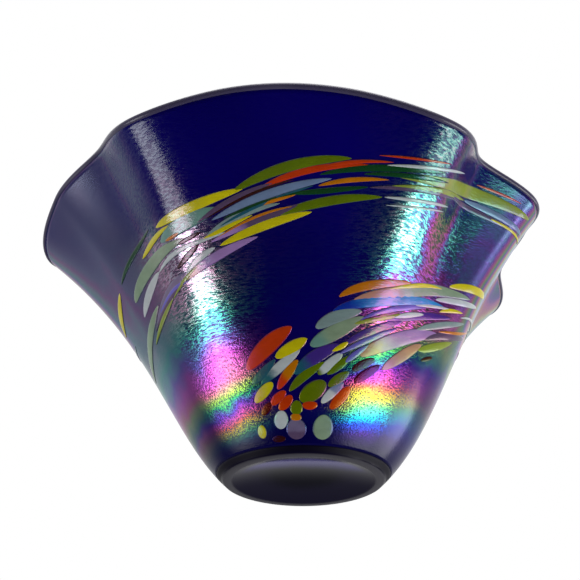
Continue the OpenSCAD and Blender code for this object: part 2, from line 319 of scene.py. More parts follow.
TINTS = {
    "orange": (214, 66, 10), "yellow": (228, 216, 12), "amber": (214, 128, 8),
    "olive": (104, 128, 6), "lime": (150, 168, 60), "sage": (146, 172, 142),
    "green": (20, 74, 34), "teal": (34, 96, 118), "cyan": (44, 150, 226),
    "azure": (10, 54, 170), "blue": (122, 146, 186), "lavender": (112, 104, 206),
    "violet": (72, 46, 150), "lilac": (126, 114, 150), "mauve": (98, 78, 112),
    "grey": (140, 166, 166), "white": (206, 216, 220), "pearl": (112, 160, 148),
    "pink": (176, 138, 206), "peach": (200, 146, 122),
    "red": (214, 62, 8), "maroon": (76, 8, 12), "brown": (58, 20, 14)}
FILM_BANDS = 2.2
FILM_STOPS = [
    (0.00, (40, 20, 60)), (0.20, (60, 30, 120)), (0.35, (30, 80, 220)), (0.45, (20, 190, 220)),
    (0.55, (110, 230, 140)), (0.65, (250, 235, 60)), (0.74, (255, 130, 90)), (0.82, (250, 90, 200)),
    (0.90, (110, 60, 220)), (0.97, (30, 190, 110)), (1.05, (180, 230, 80)), (1.16, (255, 140, 170)),
    (1.27, (240, 100, 230)), (1.38, (140, 130, 240)), (1.50, (90, 235, 205)), (1.62, (200, 250, 235)),
    (1.76, (255, 190, 230)), (1.90, (225, 240, 255)), (2.20, (250, 235, 250))]
print(len(TINTS), "glass colours,", len(FILM_STOPS), "film colours")

# %% [markdown]
# ## Words for shaders
# Every finish of the vase is written with the same few words: a noise that can be stretched as the
# glass was, a smooth step, a mix of two colours, and a number read from the surface. The noises use
# object coordinates, so the patterns stay on the glass.

# %% Shader helpers
NOISE_ROUGHNESS = 0.6


def new_material(name):
    """An empty material, the net that will build its shader, and object coordinates."""
    material = bpy.data.materials.new(name)
    material.use_nodes = True
    material.node_tree.nodes.clear()
    net = Net(material.node_tree)
    return material, net, net.node("ShaderNodeTexCoord", out=3)


def show(net, shader):
    """Ends a material with its output node."""
    net.node("ShaderNodeOutputMaterial", inputs={"Surface": shader})


def noise(net, vector, scale, detail=2.0, stretch=(1, 1, 1)):
    """A noise between 0 and 1, stretched along the axes."""
    vector = net.node("ShaderNodeMapping", inputs={"Vector": vector, "Scale": stretch})
    return net.node("ShaderNodeTexNoise", inputs={
        "Vector": vector, "Scale": scale, "Detail": detail, "Roughness": NOISE_ROUGHNESS})


def ramp(net, value, low, high):
    """0 below low, 1 above high, and smooth between."""
    return net.node("ShaderNodeMapRange", {"interpolation_type": "SMOOTHSTEP"}, {
        "Value": value, "From Min": low, "From Max": high})


def mix(net, factor, a, b):
    """Two colours mixed."""
    return net.node("ShaderNodeMix", {"data_type": "RGBA"}, {0: factor, 6: a, 7: b}, out=2)


def number_at(net, name):
    """A number stored at the points of the piece."""
    return net.node("ShaderNodeAttribute", {"attribute_name": name}, out=2)


def bumps(net, height, strength, depth):
    """A normal that follows a height; depth is in metres."""
    return net.node("ShaderNodeBump", inputs={
        "Strength": strength, "Distance": depth, "Height": height})


def glass_shader(net, base, roughness, gloss, normal):
    """Opaque shiny glass; gloss is its index of refraction, so more of it mirrors more."""
    return net.node("ShaderNodeBsdfPrincipled", inputs={
        "Base Color": base, "Roughness": roughness, "IOR": gloss, "Normal": normal})


print("shader helpers ready")

# %% [markdown]
# ## Glass under a film
# The film is a rough metal laid over shiny glass, so the shader mixes two surfaces. Stroke-like
# ripples break the film's reflections up: long and level higher on the wall, and grainy near the
# foot, where the hot glass was stretched least. The gaps between the ripples are painted dark, a
# painted reflection of the dark room. Where the wall turns away, the film is smooth and greyed.

# %% The film's shader
STROKE_SCALE = 1500
STROKE_STRETCH = (0.2, 0.2, 1)
GRAIN_SCALE = 1300
PATCH_SCALE = 45
PATCH_SHIFT = 0.3
# painted reflection: the dark colour that the gaps between the film's ripples get, for the dark room they
# reflect
PAINTED_GAP_REFLECTION = (0.01, 0.01, 0.05, 1)
GREY_FILM = (0.14, 0.11, 0.22, 1)
GREYING = 0.55
FILM_ROUGHNESS = 0.24
RELIEF_DEPTH = 0.3 * MM


def film_surface(net, place, base, roughness, cover, gap_reflection_depth, gloss):
    """Glass of one colour with the rainbow film over it.

    Cover is how much of the film shows, and gap_reflection_depth how dark the painted reflection of the
    dark room is in the gaps between its ripples.
    """
    climb = number_at(net, "climb")
    strokes = noise(net, place, STROKE_SCALE, 2, STROKE_STRETCH)
    grains = noise(net, place, GRAIN_SCALE, 2)
    level = 0.2 + 0.65 * ramp(net, climb, 0.3, 0.5)
    broken = number_at(net, "grain")
    relief = (level * strokes + (1 - level) * grains - 0.5) * broken
    smooth = 1 - broken
    patches = noise(net, place, PATCH_SCALE, 2)
    order = (number_at(net, "film") + relief * (0.1 + 0.7 * ramp(net, climb, 0.35, 0.55))
             + (patches - 0.5) * PATCH_SHIFT)
    stops = [(at / FILM_BANDS, linear(*colour)) for at, colour in FILM_STOPS]
    rainbow = net.node("ShaderNodeValToRGB", {"stops": stops}, {0: order / FILM_BANDS})
    # painted dark reflection: the gaps between the ripples are darkened to stand for ripples that reflect
    # the dark room
    gap_reflection_mask = gap_reflection_depth * (1 - smooth) * (1 - ramp(net, relief, -0.12, 0.08))
    rainbow = mix(net, gap_reflection_mask, rainbow, PAINTED_GAP_REFLECTION)
    rainbow = mix(net, GREYING * smooth, rainbow, GREY_FILM)
    metal = net.node("ShaderNodeBsdfPrincipled", inputs={
        "Base Color": rainbow, "Metallic": 1.0, "Roughness": FILM_ROUGHNESS,
        "Normal": bumps(net, relief, 0.8, RELIEF_DEPTH)})
    glass = glass_shader(net, base, roughness, gloss, bumps(net, relief, 0.5, RELIEF_DEPTH))
    return net.node("ShaderNodeMixShader", inputs={0: cover, 1: glass, 2: metal})


print("film of", FILM_BANDS, "colour bands, relief", round(RELIEF_DEPTH / MM, 2), "mm deep")

# %% [markdown]
# ## The rim as a thread
# The mouth's edge is a closed loop. It is the one line that the ruffles can be read from, so the wall
# and the lip both start from it: a loop of points that a geometry tree then clothes with glass.

# %% The rim loop
RIM_POINTS = 360
around = np.arange(RIM_POINTS) * 360 / RIM_POINTS - 180


def rim_loop(name, t):
    """A closed chain of points round the vase at one height of the wall."""
    chain = [(i, (i + 1) % RIM_POINTS) for i in range(RIM_POINTS)]
    made = mesh_object(name, wall_point(around, t), edges=chain)
    store(made.data, "out", wall_normal(around, t), "FLOAT_VECTOR")
    return made


wall = rim_loop("blown_wall", 1.0)
print("rim loop of", len(wall.data.vertices), "points")

# %% [markdown]
# ## Cobalt glass
# The wall is deep cobalt blue, cloudy where the gather was uneven, and darker toward the foot,
# where it is nearly black. The film covers it most outside; the inside only caught a little.

# %% The wall's glass
WALL_GLOSS = 1.3
# how dark the painted reflection in the gaps of the wall's film is
WALL_GAP_REFLECTION = 0.85
MOST_FILM = 0.7
FOOT_SHADE = 0.6


def wall_material():
    """Cobalt under the film; heights are shares of the wall, from foot edge to rim."""
    material, net, place = new_material("cobalt_glass")
    climb = number_at(net, "climb")
    base = mix(net, noise(net, place, 14, 1), paint(2, 0, 66), paint(12, 0, 120))
    base = mix(net, FOOT_SHADE * (1 - ramp(net, climb, 0.04, 0.24)), base, (0, 0, 0.004, 1))
    outside = 1 - number_at(net, "inside")
    cover = MOST_FILM * number_at(net, "lustre") * (0.3 + 0.7 * outside)
    roughness = 0.14 + 0.1 * (1 - ramp(net, climb, 0.1, 0.3))
    show(net, film_surface(net, place, base, roughness, cover, WALL_GAP_REFLECTION, WALL_GLOSS))
    return material


wall_glass = wall_material()
print("wall glass of", len(wall_glass.node_tree.nodes), "nodes")

# %% [markdown]
# ## Rows of the wall
# The wall is a grid. One side of the grid runs round the rim loop, the other climbs the outside from
# the foot, turns over at the top and comes down the inside. So the first thing each row has to know
# is on which side it is, and how far up. The last row meets the first again and closes the wall.

# %% Where a row is
def wall_rows(given, v):
    """For a place v along the grid: 1 on the inside, 1 on the closing row, and t up the wall."""
    top_row, rows = given["Top row"], given["Rows"]
    row = v * (rows - 1)
    closing = row.math("GREATER_THAN", rows - 1.5)
    inside = row.math("GREATER_THAN", top_row + 0.5) * (1 - closing)
    climb = (row / top_row) * (WALL_TOP - JOINT) + JOINT
    sink = WALL_TOP - (row - top_row - 1) / (rows - 3 - top_row) * (WALL_TOP - FLOOR_JOINT)
    t = inside * sink + (1 - inside) * (1 - closing) * climb + closing * JOINT
    return inside, closing, t


def wall_curve(given, t, rim_reach, rim_height):
    """The Bezier curve's reach and height at t, and the way it runs there, as two parts of length 1."""
    foot, swell, waist = given["Foot reach"], given["Swell reach"], given["Waist reach"]
    swell_height, waist_height = given["Swell height"], given["Waist height"]
    s = 1 - t
    b0, b1, b2, b3 = s * s * s, 3 * t * s * s, 3 * t * t * s, t * t * t
    r = b0 * foot + b1 * swell + b2 * waist + b3 * rim_reach
    h = b1 * swell_height + b2 * waist_height + b3 * rim_height
    run_r = s * s * (swell - foot) + 2 * t * s * (waist - swell) + t * t * (rim_reach - waist)
    run_h = (s * s * swell_height + 2 * t * s * (waist_height - swell_height)
             + t * t * (rim_height - waist_height))
    run = (run_r * run_r + run_h * run_h) ** 0.5
    return r, h, run_r / run, run_h / run


print("rows know their place from", JOINT, "to", WALL_TOP)

# %% [markdown]
# ## The blown wall
# Each row works out the Bezier curve from its own point of the rim, and the inside is the same curve
# moved in by the wall's thickness. A faint wobble keeps the outside from looking machined.

# %% The wall's tree
WOBBLE = 0.1
WOBBLES_PER_METRE = (40, 30)
CALM_PART = 20
WELD = 0.02


def wall_tree():
    net, given = new_tree("Blow wall", [
        ("Foot reach", "Float", FOOT_EDGE[0] * MM), ("Swell reach", "Float", SWELL[0] * MM),
        ("Swell height", "Float", SWELL[1] * MM), ("Waist reach", "Float", WAIST[0] * MM),
        ("Waist height", "Float", WAIST[1] * MM), ("Thickness at foot", "Float", THICK_FOOT * MM),
        ("Thickness at rim", "Float", THICK_RIM * MM), ("Columns", "Int", 360),
        ("Rows", "Int", 120), ("Top row", "Int", 78), ("Wobble", "Float", WOBBLE * MM),
        ("Glass", "Material", None)])
    node = net.node
    rim = node("GeometryNodeMeshToCurve", inputs={"Mesh": given["Geometry"]})
    grid = node("GeometryNodeMeshGrid", inputs={
        "Size X": 1.0, "Size Y": 1.0, "Vertices X": given["Columns"] + 1, "Vertices Y": given["Rows"]})
    flat_x, flat_y, _ = net.split(node("GeometryNodeInputPosition"))
    u, v = flat_x + 0.5, flat_y + 0.5
    edge = node("GeometryNodeSampleCurve", {"mode": "FACTOR"}, {"Curves": rim, "Factor": u}, out=1)
    x, y, z = net.split(edge)
    reach = (x * x + y * y) ** 0.5
    inside, closing, t = wall_rows(given, v)
    r, h, run_r, run_h = wall_curve(given, t, reach, z)
    # the outside wobbles, the inside stands back by the thickness
    thickness = given["Thickness at foot"] + (given["Thickness at rim"] - given["Thickness at foot"]) * t
    across, up = WOBBLES_PER_METRE
    ripple = node("ShaderNodeTexNoise", inputs={
        "Vector": net.join(x * across, y * across, h * up), "Scale": 1.0, "Detail": 1.0}) - 0.5
    settled = (v * CALM_PART).math("MINIMUM", 1) * (1 - closing)
    lift = (1 - inside) * settled * ripple * given["Wobble"] - inside * thickness
    r = r + lift * run_h
    h = h - lift * run_r
    # what is read from the flat grid has to be stored before the grid is bent into a wall
    shell = keep(net, grid, "turn", x.math("ARCTAN2", 0 - y) * math.degrees(1))
    shell = keep(net, shell, "climb", t)
    shell = keep(net, shell, "inside", inside)
    shell = keep(net, shell, "UVMap", net.join(u, v, 0.0), "FLOAT2", "CORNER")
    shell = node("GeometryNodeSetPosition", inputs={
        "Geometry": shell, "Position": net.join(x / reach * r, y / reach * r, h)})
    shell = node("GeometryNodeMergeByDistance", inputs={"Geometry": shell, "Distance": WELD * MM})
    # smooth everywhere but on the two narrow rings between outside and inside
    side = kept(net, "inside") - 0.5
    shell = node("GeometryNodeSetShadeSmooth", inputs={
        "Geometry": shell, "Shade Smooth": (side * side).math("GREATER_THAN", 0.1)})
    return end_tree(net, shell, given["Glass"])


grow(wall, wall_tree(), {"Glass": wall_glass})
print("wall:", len(wall.data.vertices), "points", len(wall.data.polygons), "faces")

# %% [markdown]
# ## The melted lip
# Held back in the furnace, a cut edge melts and pulls itself into a bead that is a little wider than
# the wall. A tube that follows the rim loop does that: its section is nearly round, and a touch wider
# across the wall. Its grey is painted light, for light shining through the bead. It has no film.

# %% The lip
LIP_HEIGHT = 1.6
LIP_ROLL = 0.35
# painted light: the lip's two greys stand for light shining through the bead
LIP_BACKLIT_GREYS = (paint(40, 34, 70), paint(92, 86, 112))


def lip_tree():
    net, given = new_tree("Melt lip", [
        ("Half width", "Float", (THICK_RIM / 2 + LIP_ROLL) * MM),
        ("Half height", "Float", LIP_HEIGHT * MM), ("Sides", "Int", 24), ("Glass", "Material", None)])
    node = net.node
    rim = node("GeometryNodeMeshToCurve", inputs={"Mesh": given["Geometry"]})
    out = kept(net, "out", "FLOAT_VECTOR")
    rim = node("GeometryNodeSetCurveNormal", {"mode": "FREE"}, {"Curve": rim, "Normal": out})
    circle = node("GeometryNodeCurvePrimitiveCircle", inputs={"Resolution": given["Sides"], "Radius": 1.0})
    oval = node("GeometryNodeTransform", inputs={
        "Geometry": circle, "Scale": net.join(given["Half width"], given["Half height"], 1.0)})
    tube = node("GeometryNodeCurveToMesh", inputs={"Curve": rim, "Profile Curve": oval})
    tube = node("GeometryNodeSetShadeSmooth", inputs={"Geometry": tube})
    return end_tree(net, tube, given["Glass"])


def lip_material():
    """Painted light: a cloudy grey for light shining through the bead, with faint waves where the bead ran.
    """
    material, net, place = new_material("backlit_lip")
    # painted light: a cloudy grey that stands for light shining through the bead
    base = mix(net, noise(net, place, 30, 2), *LIP_BACKLIT_GREYS)
    waves = bumps(net, noise(net, place, 300, 2), 0.1, 0.2 * MM)
    show(net, glass_shader(net, base, 0.3, 1.45, waves))
    return material


lip = rim_loop("melted_lip", WALL_TOP)
middle = wall_point(around, WALL_TOP) - wall_normal(around, WALL_TOP) * THICK_RIM / 2 * MM
lip.data.vertices.foreach_set("co", middle.ravel())
grow(lip, lip_tree(), {"Glass": lip_material()})
print("lip:", len(lip.data.polygons), "faces")

# %% [markdown]
# ## The foot
# The foot is the thick bottom of the bubble. Its rim was ground flat on a wheel, the mark of the iron
# was polished away into a shallow hollow, and inside it the floor dips. All of that is round, so the
# foot is turned from one outline, as on a lathe.

# %% Turn the foot
RING_WIDTH = 3.5
RING_BEVEL = 0.15
HEEL_ROUNDING = 0.2
PUNT_DEPTH = 4
FLOOR_HEIGHT = 11.2
FLOOR_DIP = 1.2
ARC_STEPS = 24


def turned(name, outline, columns=240):
    """Spins an outline of (radius, height) in mm round Z; the first and last points are on the axis."""
    rings = np.array(outline[1:-1], float)
    turn = np.radians(np.arange(columns) * 360 / columns)[:, None]
    points = np.stack([rings[:, 0] * np.sin(turn), -rings[:, 0] * np.cos(turn),
                       rings[:, 1] + 0 * turn], -1).reshape(-1, 3)
    ends = [(0, 0, outline[0][1]), (0, 0, outline[-1][1])]
    n = len(rings)
    first = n * columns
    faces = []
    for c in range(columns):
        here, beside = c * n, (c + 1) % columns * n
        faces.append((first, beside, here))
        faces.append((first + 1, here + n - 1, beside + n - 1))
        faces += [(here + k, beside + k, beside + k + 1, here + k + 1) for k in range(n - 1)]
    made = mesh_object(name, np.vstack([points, ends]) * MM, faces=faces)
    made.data.polygons.foreach_set("use_smooth", [True] * len(faces))
    return made


def foot_outline():
    """Up the hollow's middle, out over the ground ring, up the heel, and in over the floor."""
    ring = FOOT_EDGE[0] - RING_WIDTH
    bend = (ring ** 2 + PUNT_DEPTH ** 2) / (2 * PUNT_DEPTH)
    steps = [i / ARC_STEPS for i in range(ARC_STEPS + 1)]
    hollow = [(ring * f, PUNT_DEPTH - bend + math.sqrt(bend ** 2 - (ring * f) ** 2))
              for f in steps[:-1]]
    face = [(ring - RING_BEVEL, 0.05), (ring + RING_BEVEL, 0), (FOOT_EDGE[0] - HEEL_ROUNDING, 0)]
    heel = [(np.hypot(*p[:2]) / MM, p[2] / MM) for p in wall_point(0, np.linspace(0.003, JOINT, 6))]
    floor = [(FOOT_EDGE[0] * f, FLOOR_HEIGHT - FLOOR_DIP * (1 - f ** 2)) for f in reversed(steps)]
    return hollow + face + heel + floor


foot = turned("ground_foot", foot_outline())
print("foot:", len(foot.data.polygons), "faces")

# %% [markdown]
# ## Ground and polished glass
# The glass is nearly black in the middle of the hollow and lighter toward its rim. At the front a
# violet glow is painted on, painted light that stands for light coming through. The ground ring is
# grey and dull, and keeps the wheel's fine scratches. All of these are zones, so each is a smooth
# step on the distance from the middle, from the front, or from the floor.

# %% The foot's glass
CLOUD_SPREAD = 6
RING_DULL = 0.35
HEEL_DULL = 0.4
RING_SCRATCHES = 0.15


def foot_material():
    """Zones in mm: by the distance from the middle, toward the front, and above the floor."""
    material, net, place = new_material("ground_foot")
    x, y, z = net.split(place)
    reach = (x * x + y * y) ** 0.5 / MM
    height = z / MM
    cloud = (noise(net, place, 60, 3) - 0.5) * CLOUD_SPREAD
    base = mix(net, ramp(net, reach + cloud, 12, 25), paint(1, 0, 18), paint(20, 17, 40))
    # painted light: a violet glow at the front that stands for light coming through the glass
    front = ramp(net, 0 - y / MM + cloud, 8, 24) * (1 - ramp(net, reach, 30, 35))
    base = mix(net, front, base, paint(44, 34, 118))
    ring = ramp(net, reach, 35.2, 37) * (1 - ramp(net, height, 0.1, 0.8))
    base = mix(net, ring, base, paint(74, 73, 80))
    heel = ramp(net, height, 0.0, 2) * ramp(net, reach, 38, 40)
    base = mix(net, heel, base, paint(3, 0, 22))
    scratches = noise(net, place, 700, 3, (1, 0.08, 1)) * 0.5 + noise(net, place, 900, 2) * 0.5
    marks = bumps(net, scratches * (RING_SCRATCHES + ring), 0.25, 0.08 * MM)
    roughness = 0.1 + RING_DULL * ring + HEEL_DULL * heel
    show(net, glass_shader(net, base, roughness, 1.22, marks))
    return material


foot.data.materials.append(foot_material())
print("foot glass of", len(foot.data.materials[0].node_tree.nodes), "nodes")

# %% [markdown]
# ## The band of chips
# Every chip is named, with the places it runs from, by way of and to, each as (angle, height in
# hundredths), its width in mm, and its tips: 0 is a round oval, 1 has one drawn out end, 2 has two.
# The low ones were barely stretched and stay round, the high ones were pulled into long streaks.

# %% The chips
CHIPS = {
    "orange_petal": ("orange", [
        ((-24, 33), (-15, 39), (-6, 44), 6.5, 1)]),
    "yellow_petal": ("yellow", [
        ((-11.5, 35.6), (-5.5, 38.2), (0, 40.8), 4.6, 1)]),
    "teal_sliver": ("teal", [
        ((-22.4, 28.6), (-17.6, 31), (-12.6, 34.4), 3, 2)]),
    "white_leaf": ("white", [
        ((-19, 27.6), (-10.8, 32.2), (-3, 37), 3.8, 1)]),
    "yellow_bean": ("yellow", [
        ((-23.6, 21.6), (-18.6, 24.8), (-14, 27.6), 5, 0)]),
    "amber_leaf": ("amber", [
        ((-12, 25.2), (-7.6, 29.8), (-3.4, 34), 3.7, 1)]),
    "violet_petal": ("violet", [
        ((-4.2, 30), (3.6, 35.2), (12, 39.4), 5.2, 1)]),
    "olive_leaf": ("olive", [
        ((-6, 25), (0, 29.5), (7, 33.5), 3, 2)]),
    "grey_petal": ("grey", [
        ((4, 44.4), (10.6, 48), (18, 50.6), 5, 1)]),
    "sage_petal": ("sage", [
        ((2.2, 39), (10.4, 43.4), (19.4, 48.6), 6, 1)]),
    "white_bean": ("white", [
        ((5.6, 30), (10, 33.5), (14.6, 37.4), 4.6, 0)]),
    "olive_wing": ("olive", [
        ((10, 30.6), (13.8, 33.4), (17.6, 36.4), 2.8, 2)]),
    "olive_drop": ("olive", [
        ((10.4, 26.2), (14.2, 28.8), (18, 31.4), 3.7, 1)]),
    "blue_drop": ("blue", [
        ((8, 20.2), (12.2, 24), (16.4, 27.4), 3.6, 1)]),
    "orange_seed": ("orange", [
        ((12.4, 18.4), (16.6, 22.6), (20, 26.8), 5.2, 0)]),
    "olive_oval": ("olive", [
        ((-2, 20.8), (3.8, 24.2), (9, 27.6), 8.2, 0)]),
    "red_drops": ("red", [
        ((-16, 20), (-12.4, 22.2), (-8.6, 24.4), 4.2, 0),
        ((-12.4, 18), (-9, 20.3), (-6, 22.8), 4.6, 0)]),
    "maroon_bean": ("maroon", [
        ((-21.4, 16.8), (-18.6, 18.8), (-15.8, 20.8), 3.6, 0)]),
    "white_oval": ("white", [
        ((-13.2, 10.8), (-12.2, 14.2), (-11, 17.6), 6.2, 0)]),
    "olive_pip": ("olive", [
        ((-4.4, 15.8), (-4, 18.2), (-3.4, 21), 5.4, 0)]),
    "amber_pip": ("amber", [
        ((-4.5, 13.4), (-4.4, 14.9), (-4.2, 16.4), 5, 0)]),
    "lilac_oval": ("lilac", [
        ((-4.5, 6.4), (-4.5, 10.4), (-4.4, 14.4), 8.8, 0)]),
    "sage_oval": ("sage", [
        ((10, 6.5), (10, 11), (9.5, 16), 9, 0)]),
    "yellow_pips": ("yellow", [
        ((-24, 8), (-24, 10.5), (-23, 13), 4.2, 0)]),
    "brown_patches": ("brown", [
        ((-19, 7.2), (-15, 7), (-11, 7), 3.4, 0)]),
    "amber_blade": ("amber", [
        ((12, 54.6), (20, 58.6), (32, 62), 3, 2)]),
    "sage_blade": ("sage", [
        ((18, 54.6), (36, 60.6), (61, 66.8), 4.4, 2)]),
    "cyan_blade": ("cyan", [
        ((11, 50.4), (26, 55.4), (50, 60.2), 3.6, 2)]),
    "violet_blades": ("violet", [
        ((30, 50.6), (44, 54.6), (58, 58.6), 2.6, 2),
        ((16, 41), (25, 46.4), (35, 51), 2.8, 2)]),
    "yellow_crescent": ("yellow", [
        ((54, 67), (64, 70.5), (76, 73), 3.4, 1)]),
    "white_crescent": ("white", [
        ((50, 61.6), (60, 64.6), (72, 68), 2.6, 1)]),
    "lime_blades": ("lime", [
        ((50, 45.4), (57, 48.4), (66, 53), 3, 2)]),
    "pink_pearl": ("pink", [
        ((22, 37.6), (34, 44.4), (54, 51.6), 6.2, 1),
        ((-37, 63.4), (-27, 66), (-15, 68.6), 3, 2)]),
    "grey_blades": ("grey", [
        ((46, 51), (56, 55.4), (68, 60.6), 2.4, 2),
        ((-26, 71.8), (-18, 74.2), (-8, 76), 2.2, 2)]),
    "peach_blade": ("peach", [
        ((33, 35), (41, 40.8), (49, 46.2), 5, 1)]),
    "maroon_leaves": ("maroon", [
        ((19.8, 32.4), (23.8, 35), (28.4, 37.4), 4.2, 0),
        ((21.6, 28.6), (26, 32), (31.4, 35.8), 4.6, 0)]),
    "maroon_flecks": ("maroon", [
        ((53, 42.5), (56, 44), (59, 45.4), 2.2, 0)]),
    "yellow_ribbon": ("yellow", [
        ((-40, 78), (-29, 79), (-17, 80), 3.4, 2),
        ((-75, 71.4), (-82, 68.6), (-88, 66), 3, 2)]),
    "olive_ribbon": ("olive", [
        ((-16, 80.4), (-4, 84), (8, 86.6), 3.4, 2)]),
    "pearl_patch": ("pearl", [
        ((-41, 74.6), (-32, 76.2), (-23, 77), 5, 2)]),
    "mauve_ribbons": ("mauve", [
        ((-24, 70.4), (-12, 73), (0, 76), 2.4, 2)]),
    "red_ribbon": ("red", [
        ((-10, 80), (0, 83.2), (12, 86), 2.2, 2)]),
    "blue_ribbon": ("blue", [
        ((-22, 75.4), (-9, 78.4), (4, 81.6), 2.8, 2)]),
    "amber_ribbons": ("amber", [
        ((4, 80.6), (10, 82.4), (17, 84.2), 1.6, 2)]),
    "green_ribbons": ("green", [
        ((5, 83.2), (16, 86.4), (28, 89.6), 2.2, 2),
        ((-3, 78.4), (5, 79.4), (13, 81.4), 1.8, 2),
        ((-69, 73), (-60, 75.4), (-48, 78), 1.8, 2)]),
    "olive_ribbon_low": ("olive", [
        ((-6, 74), (5, 77), (16, 80), 3, 2)]),
    "yellow_ribbon_low": ("yellow", [
        ((-22, 69), (-11, 71.4), (0, 74), 3, 2)]),
    "sage_feathers": ("sage", [
        ((-68, 66), (-56, 70), (-37, 72.6), 5.4, 1),
        ((-86, 48), (-72, 54.4), (-59, 60), 3.6, 2)]),
    "white_feathers": ("white", [
        ((-66, 61.6), (-59, 65), (-51, 67.8), 3.4, 2)]),
    "lilac_feather": ("lilac", [
        ((-60, 57), (-49, 61.6), (-37, 64.4), 3.6, 2)]),
    "lime_ribbon": ("lime", [
        ((22, 86.4), (44, 90.6), (66, 94.6), 4.4, 2)]),
    "blue_ribbon_right": ("blue", [
        ((48, 89), (58, 90.2), (70, 91.4), 2.2, 2)]),
    "back_ribbons": ("grey", [
        ((88, 64.4), (118, 65.6), (150, 66), 3.4, 2),
        ((90, 58), (114, 60.4), (142, 60), 3.4, 2),
        ((152, 71), (178, 73), (204, 74), 2.6, 2),
        ((156, 64), (178, 65), (202, 64), 3, 2),
        ((210, 62.6), (232, 64), (260, 64), 3, 2),
        ((220, 57), (244, 58.6), (270, 60), 3, 2)]),
}
print(len(CHIPS), "groups of chips")

# %% [markdown]
# ## Threads between the chips
# Finer threads and a few small chips of the same colours fill the band. The frame has no node for
# them, so they are given here only, in the same way.

# %% The threads
THREADS = {
    "rust_threads": ("red", [
        ((-1, 19.6), (2.5, 19.2), (6, 19.8), 4, 0),
        ((50, 94), (56, 95), (62, 96), 0.9, 2),
        ((16, 89), (22, 90.4), (29, 92), 0.8, 2),
        ((4, 84.4), (10, 86.2), (17, 88), 1.2, 2)]),
    "yellow_threads": ("yellow", [
        ((11, 38), (14, 39.6), (16, 41), 1.7, 2),
        ((54, 59.2), (58, 61), (64, 62.8), 1.5, 2),
        ((54, 88), (62, 89.2), (74, 90.6), 1, 2),
        ((28, 59.6), (38, 62.6), (50, 65), 1.6, 2),
        ((-54, 73.8), (-47, 75.3), (-38, 76.8), 2, 2),
        ((-29, 70.8), (-23, 72), (-15, 73.8), 1.5, 2)]),
    "brown_threads": ("brown", [
        ((20, 48.6), (27, 51.4), (35, 54.4), 1.4, 2),
        ((-36, 72), (-32, 72.5), (-28, 73), 2, 0),
        ((-39, 66.8), (-34, 68.6), (-30, 70.2), 2, 2),
        ((-24, 76), (-14, 78.6), (-4, 81), 1, 2)]),
    "amber_threads": ("amber", [
        ((58, 54), (67, 57), (80, 62), 1.2, 2),
        ((-13, 76), (-8, 77), (-3, 78), 1.6, 2),
        ((-40, 74), (-37, 74.2), (-34, 74.6), 1.5, 0),
        ((-22, 71.2), (-12, 73.8), (-4, 75.4), 0.9, 2)]),
    "pale_threads": ("white", [
        ((-48, 68.4), (-38, 70.4), (-28, 71.2), 1.6, 2),
        ((-36, 65), (-31, 67), (-26, 68.4), 2.2, 2),
        ((-34, 70.6), (-28, 71), (-22, 71.4), 1, 2),
        ((19, 80.8), (26, 82.2), (36, 84), 1.2, 2),
        ((20, 79.2), (27, 80.8), (35, 82.4), 0.8, 2),
        ((18, 87.6), (26, 89.8), (37, 92.6), 1.2, 2),
        ((66, 62), (76, 65), (90, 67), 0.9, 2),
        ((32, 51.8), (38, 53.6), (46, 55.6), 1.8, 2),
        ((40, 57), (50, 59.4), (58, 61.4), 1, 2)]),
    "green_threads": ("green", [
        ((14, 84.6), (22, 86.6), (31, 88.4), 1.6, 2),
        ((-20, 74.8), (-11, 76.6), (0, 79), 1.2, 2)]),
    "lime_threads": ("lime", [
        ((-66, 53), (-56, 57), (-48, 60), 1.8, 2),
        ((20, 83.6), (30, 86), (44, 88.4), 2, 2),
        ((18, 47.2), (25, 49.8), (34, 52.8), 1.8, 2),
        ((-46, 60.4), (-39, 63), (-33, 65), 1.3, 2)]),
    "mauve_threads": ("mauve", [
        ((-62, 56), (-50, 60), (-40, 62.4), 1.6, 2),
        ((-27, 75.6), (-19, 78), (-9, 80.4), 1.8, 2),
        ((16, 82.2), (26, 84.6), (38, 86.6), 1.5, 2),
        ((36, 87.4), (50, 87.8), (66, 89.8), 1.8, 2),
        ((52, 49.6), (62, 54), (78, 59), 2.6, 2)]),
    "lavender_threads": ("violet", [
        ((20, 48.6), (30, 53.6), (44, 57.4), 2.2, 2),
        ((15, 38), (24, 43.2), (33, 48), 2, 2),
        ((16.6, 35), (19.6, 37.6), (23.6, 41), 2, 2),
        ((-56, 59), (-46, 61.8), (-38, 62.6), 1.6, 2)]),
    "teal_threads": ("teal", [
        ((-22, 73.2), (-12, 76), (0, 79.6), 1.2, 2)]),
}
print(len(THREADS), "groups of threads")

# %% [markdown]
# ## Chips of two colours
# Some chips were picked up on top of another and run into its colour. For each, this says the second
# colour and how much of the chip, from its first end, has it.

# %% Second colours
LEAN = {
    "orange_petal": ("red", 0.25), "amber_leaf": ("red", 0.4), "pink_pearl": ("peach", 0.3),
    "violet_petal": ("teal", 0.3), "white_bean": ("olive", 0.15), "sage_blade": ("peach", 0.35),
    "sage_petal": ("pearl", 0.3), "white_leaf": ("teal", 0.3), "lilac_oval": ("mauve", 0.4),
    "blue_drop": ("white", 0.5), "mauve_ribbons": ("pink", 0.3), "cyan_blade": ("azure", 0.3),
    "lavender_threads": ("lavender", 0.9)}
print(len(LEAN), "groups of two colours")

# %% [markdown]
# ## A chip from three places
# The middle line of a chip is a curve through its three places. Along it a chain of points carries
# three things: where the line is, how far the chip reaches to the side, and how far it stands proud.
# Drawn out tips are longer than the places say, and their chips a little wider in the middle.

# %% Chains of points
CHIP_RISE = 0.4
THREAD_RISE = 0.56
CHIP_SINK = 0.8
STATIONS = 26
SPREAD = [1.08, 1.3, 1.55]
STRETCH = 0.08
TIP_INSET = 0.12
TIP_SHARPNESS = 1.25
NUDGE = 0.01


